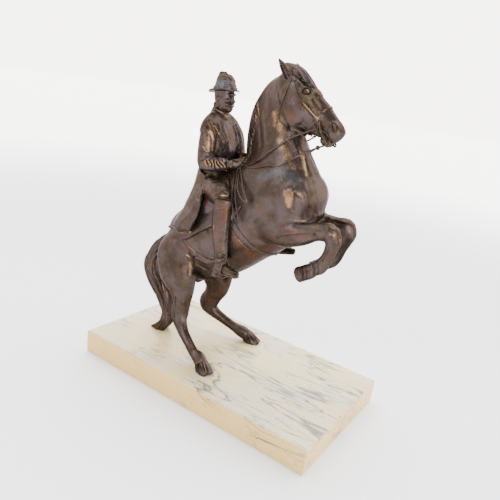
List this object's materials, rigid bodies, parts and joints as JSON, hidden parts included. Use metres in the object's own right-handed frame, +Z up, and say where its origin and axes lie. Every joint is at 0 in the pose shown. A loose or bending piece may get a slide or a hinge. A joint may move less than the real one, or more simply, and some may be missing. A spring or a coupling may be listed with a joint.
{
  "type": "equestrian statuette",
  "caption": "Bronze statuette of a rider in hat and long coat on a horse raised on its hind legs, on a rectangular marble slab.",
  "frame": {"origin": "middle of the marble slab's underside", "axes": "+X the way the horse faces, +Y the horse's left side, +Z up"},
  "size_m": [0.325, 0.18, 0.388],
  "materials": {
    "bronze": "cast bronze with dark brown patina, rubbed to gold on the high spots",
    "marble": "polished cream marble with grey veins"
  },
  "bodies": {
    "root": {"horse_and_rider": "bronze", "marble_plinth": "marble"}
  },
  "joints": []
}
